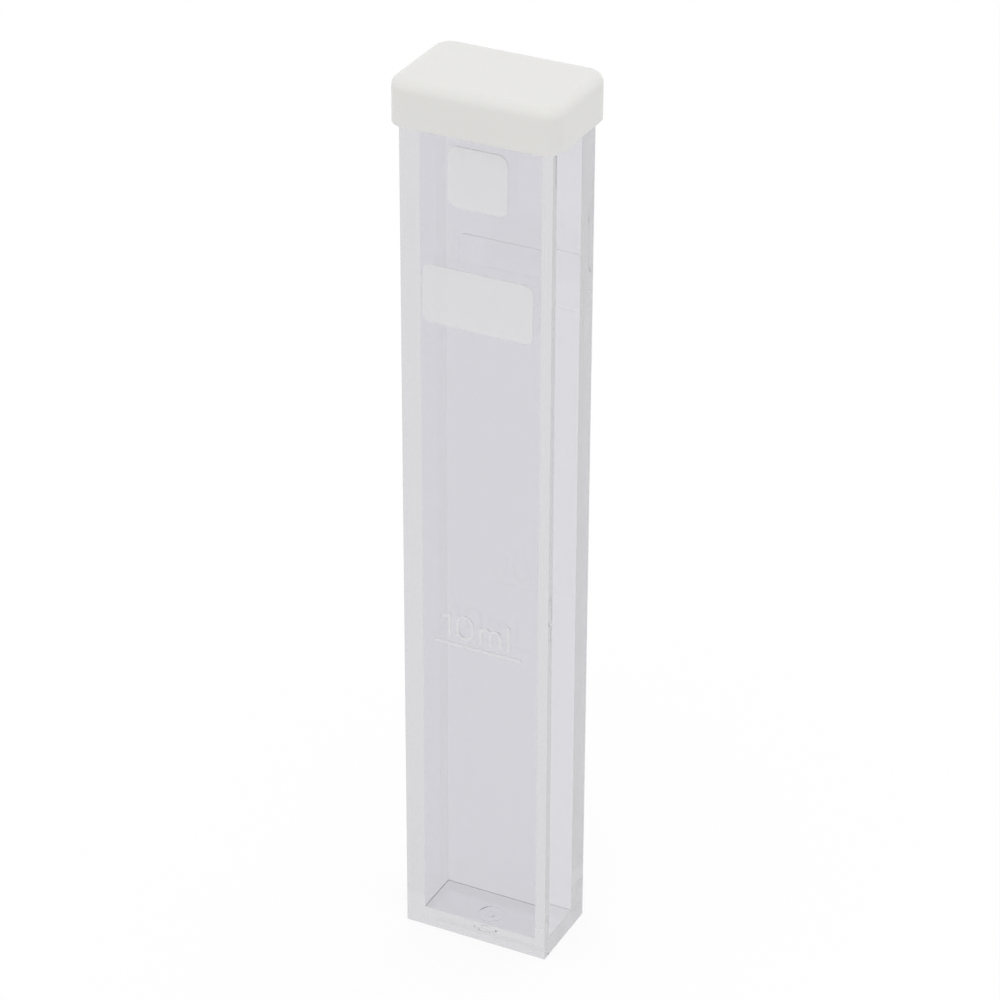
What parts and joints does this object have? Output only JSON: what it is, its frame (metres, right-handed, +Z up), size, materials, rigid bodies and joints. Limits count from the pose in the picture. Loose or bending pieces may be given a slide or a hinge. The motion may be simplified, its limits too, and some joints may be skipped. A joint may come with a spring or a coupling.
{
  "type": "sample cuvette",
  "caption": "Tall clear rectangular sample cell with a raised fill line, matt writing fields and a push-on cap.",
  "frame": {"origin": "centre of the resting face under the floor", "axes": "+Z up the cell towards the mouth, -Y out of the front wide face, +X to the right seen from the front"},
  "size_m": [0.0288, 0.0188, 0.1558],
  "materials": {
    "clear_plastic": "clear, polished",
    "white_plastic": "soft satin, natural white",
    "frosted_plastic": "matt textured field of the clear wall"
  },
  "bodies": {
    "cell": {"cuvette_body": "clear_plastic"},
    "closure": {"cap": "white_plastic"}
  },
  "joints": [
    {"name": "cap_lift", "type": "slide", "parent": "cell", "child": "closure", "axis": [0, 0, 1], "range_m": [0, 0.03]}
  ]
}
